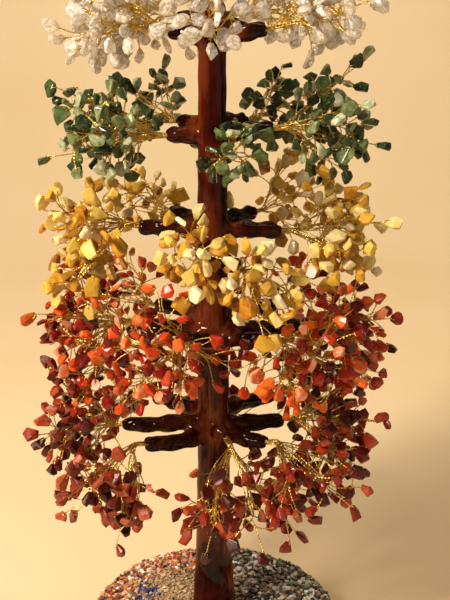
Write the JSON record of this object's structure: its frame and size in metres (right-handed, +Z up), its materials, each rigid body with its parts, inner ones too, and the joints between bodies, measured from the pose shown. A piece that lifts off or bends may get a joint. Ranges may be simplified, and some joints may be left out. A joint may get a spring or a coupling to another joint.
{
  "type": "gemstone tree ornament",
  "caption": "Free-standing ornament tree: tiers of polished stone chips on twisted brass wire sprays, on a glossy dark lacquered trunk and a gravel-covered round base.",
  "frame": {"origin": "centre of the flat underside, under the trunk's axis", "axes": "+Z up along the trunk, +X to the viewer's right, +Y away from the viewer"},
  "size_m": [0.2829, 0.2286, 0.5851],
  "materials": {
    "jasper": "tumbled, polished",
    "carnelian": "tumbled, polished",
    "yellow_jade": "tumbled, polished",
    "aventurine": "tumbled, polished",
    "quartz": "tumbled, clear",
    "brass_wire": "bright drawn wire",
    "core_wire": "bundled wire",
    "lacquer": "dark red-brown gloss lacquer over wrapped wire",
    "plinth": "painted plaster",
    "gravel": "glued mixed stone gravel"
  },
  "bodies": {
    "root": {"aventurine_back_stones": "aventurine", "aventurine_back_wires": "brass_wire", "aventurine_branches": "lacquer", "aventurine_front_stones": "aventurine", "aventurine_front_wires": "brass_wire", "aventurine_left_stones": "aventurine", "aventurine_left_wires": "brass_wire", "aventurine_right_stones": "aventurine", "aventurine_right_wires": "brass_wire", "base_plinth": "plinth", "carnelian_back_stones": "carnelian", "carnelian_back_wires": "brass_wire", "carnelian_branches": "lacquer", "carnelian_front_stones": "carnelian", "carnelian_front_wires": "brass_wire", "carnelian_left_stones": "carnelian", "carnelian_left_wires": "brass_wire", "carnelian_right_stones": "carnelian", "carnelian_right_wires": "brass_wire", "gravel_bed": "gravel", "jasper_back_stones": "jasper", "jasper_back_wires": "brass_wire", "jasper_branches": "lacquer", "jasper_front_stones": "jasper", "jasper_front_wires": "brass_wire", "jasper_left_stones": "jasper", "jasper_left_wires": "brass_wire", "jasper_right_stones": "jasper", "jasper_right_wires": "brass_wire", "quartz_back_stones": "quartz", "quartz_back_wires": "brass_wire", "quartz_branches": "lacquer", "quartz_crown_stones": "quartz", "quartz_crown_wires": "brass_wire", "quartz_front_stones": "quartz", "quartz_front_wires": "brass_wire", "quartz_left_stones": "quartz", "quartz_left_wires": "brass_wire", "quartz_right_stones": "quartz", "quartz_right_wires": "brass_wire", "trunk": "lacquer", "trunk_core": "core_wire", "yellow_jade_back_stones": "yellow_jade", "yellow_jade_back_wires": "brass_wire", "yellow_jade_branches": "lacquer", "yellow_jade_front_stones": "yellow_jade", "yellow_jade_front_wires": "brass_wire", "yellow_jade_left_stones": "yellow_jade", "yellow_jade_left_wires": "brass_wire", "yellow_jade_right_stones": "yellow_jade", "yellow_jade_right_wires": "brass_wire"}
  },
  "joints": []
}
